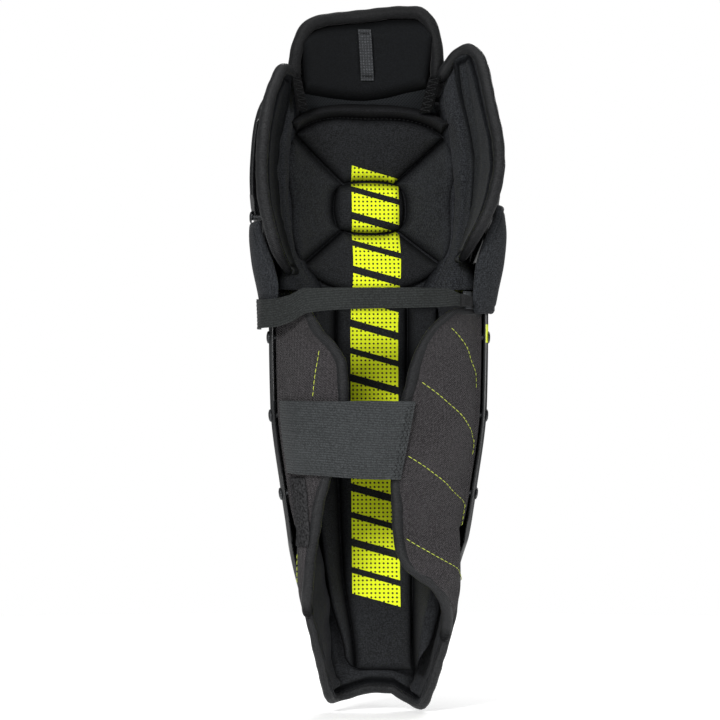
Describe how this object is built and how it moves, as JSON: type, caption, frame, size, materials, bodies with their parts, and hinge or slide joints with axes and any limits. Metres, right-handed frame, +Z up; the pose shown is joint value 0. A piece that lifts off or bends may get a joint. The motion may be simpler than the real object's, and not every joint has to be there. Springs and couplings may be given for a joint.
{
  "type": "ice hockey shin guard",
  "caption": "Ice hockey shin guard: hard shell and knee cup over a quilted liner, with padded knee wings, thigh guard, knit calf wraps and elastic straps.",
  "frame": {"origin": "on the leg's axis, level with the lowest tip of the guard's foot", "axes": "+Z up the leg, +Y to the front of the leg (the hard shell), +X to the outer side of a right leg"},
  "size_m": [0.199, 0.16, 0.5451],
  "materials": {
    "shell_plastic": "dark grey moulded plastic, glossy, scuffed along its edges",
    "rivet_steel": "nickel-plated steel rivets",
    "impact_foam": "matt closed-cell foam",
    "hook_fabric": "black hook-and-loop fabric, fuzzy",
    "liner_fabric": "smooth black knit lining",
    "brushed_pad": "black brushed knit over foam, neon chevrons with a grid of black dots down the middle",
    "binding_tape": "black woven binding tape, stitched",
    "wing_fabric": "charcoal brushed fabric over foam",
    "calf_knit": "warm dark grey rib knit with yellow-green stitch lines",
    "elastic_web": "dark grey ribbed elastic webbing",
    "stretch_mesh": "black stretch mesh",
    "grey_webbing": "grey woven webbing"
  },
  "bodies": {
    "shin": {"shin_shell": "shell_plastic", "shin_impact_foam": "impact_foam", "liner_hook_lower": "hook_fabric", "liner_hook_upper": "hook_fabric", "shin_liner_backing": "liner_fabric", "shin_liner_binding": "binding_tape", "shin_pad_centre": "brushed_pad", "shin_pad_left": "brushed_pad", "shin_pad_right": "brushed_pad", "left_side_guard": "wing_fabric", "right_side_guard": "wing_fabric", "left_wrap_anchor": "grey_webbing", "right_wrap_anchor": "grey_webbing", "upper_strap_anchor": "grey_webbing", "left_anchor_rivet_lower": "rivet_steel", "left_anchor_rivet_middle": "rivet_steel", "left_anchor_rivet_upper": "rivet_steel", "right_anchor_rivet_lower": "rivet_steel", "right_anchor_rivet_middle": "rivet_steel", "right_anchor_rivet_upper": "rivet_steel", "left_knee_pivot": "rivet_steel", "right_knee_pivot": "rivet_steel"},
    "knee": {"knee_cup": "shell_plastic", "knee_impact_foam": "impact_foam", "left_hinge_arm": "shell_plastic", "right_hinge_arm": "shell_plastic", "left_cup_rivet": "rivet_steel", "right_cup_rivet": "rivet_steel", "knee_liner_backing": "liner_fabric", "knee_pad_top": "brushed_pad", "knee_pad_right": "brushed_pad", "knee_pad_bottom": "brushed_pad", "knee_pad_left": "brushed_pad", "knee_pad_kneecap": "brushed_pad", "knee_roll": "brushed_pad", "thigh_gusset": "stretch_mesh", "thigh_elastic_left": "elastic_web", "thigh_elastic_right": "elastic_web"},
    "thigh_guard": {"thigh_plate": "shell_plastic", "thigh_backing": "liner_fabric", "thigh_pad": "brushed_pad", "thigh_binding": "binding_tape", "thigh_webbing_tab": "grey_webbing"},
    "left_wing": {"left_wing_pad": "wing_fabric", "left_wing_binding": "binding_tape"},
    "right_wing": {"right_wing_pad": "wing_fabric", "right_wing_binding": "binding_tape"},
    "left_wrap": {"left_calf_wrap": "calf_knit", "left_wrap_binding": "binding_tape", "strap_loop_patch": "hook_fabric"},
    "right_wrap": {"right_calf_wrap": "calf_knit", "right_wrap_binding": "binding_tape"},
    "upper_strap": {"upper_strap": "elastic_web", "upper_strap_hook": "hook_fabric"},
    "lower_strap": {"lower_strap": "elastic_web"}
  },
  "joints": [
    {"name": "knee_flex", "type": "hinge", "parent": "shin", "child": "knee", "pos_m": [0, 0.012, 0.338], "axis": [1, 0, 0], "range_deg": [0, 15]},
    {"name": "thigh_flex", "type": "hinge", "parent": "knee", "child": "thigh_guard", "pos_m": [0, 0.062, 0.474], "axis": [1, 0, 0], "range_deg": [-15, 20], "stiffness_Nm_per_rad": 0.6},
    {"name": "left_wing_flex", "type": "hinge", "parent": "knee", "child": "left_wing", "pos_m": [-0.071, 0.031, 0.42], "axis": [0, 0, 1], "range_deg": [0, 15], "stiffness_Nm_per_rad": 0.5},
    {"name": "right_wing_flex", "type": "hinge", "parent": "knee", "child": "right_wing", "pos_m": [0.071, 0.031, 0.42], "axis": [0, 0, 1], "range_deg": [-15, 0], "stiffness_Nm_per_rad": 0.5},
    {"name": "right_wrap_open", "type": "hinge", "parent": "shin", "child": "right_wrap", "pos_m": [0.075, -0.014, 0.3], "axis": [0.0635, -0.0182, 0.9978], "range_deg": [0, 70], "stiffness_Nm_per_rad": 0.3},
    {"name": "lower_strap_open", "type": "hinge", "parent": "right_wrap", "child": "lower_strap", "pos_m": [0.0285, -0.0568, 0.21], "axis": [0, 0, 1], "range_deg": [0, 100], "stiffness_Nm_per_rad": 0.1},
    {"name": "left_wrap_open", "type": "hinge", "parent": "shin", "child": "left_wrap", "pos_m": [-0.075, -0.014, 0.3], "axis": [-0.0635, -0.0182, 0.9978], "range_deg": [-60, 0]},
    {"name": "upper_strap_open", "type": "hinge", "parent": "shin", "child": "upper_strap", "pos_m": [0.06, -0.036, 0.316], "axis": [0, 0, 1], "range_deg": [0, 100], "stiffness_Nm_per_rad": 0.1}
  ],
  "couplings": [
    {"joint": "left_wrap_open", "follows": "lower_strap_open", "ratio": -0.6}
  ]
}
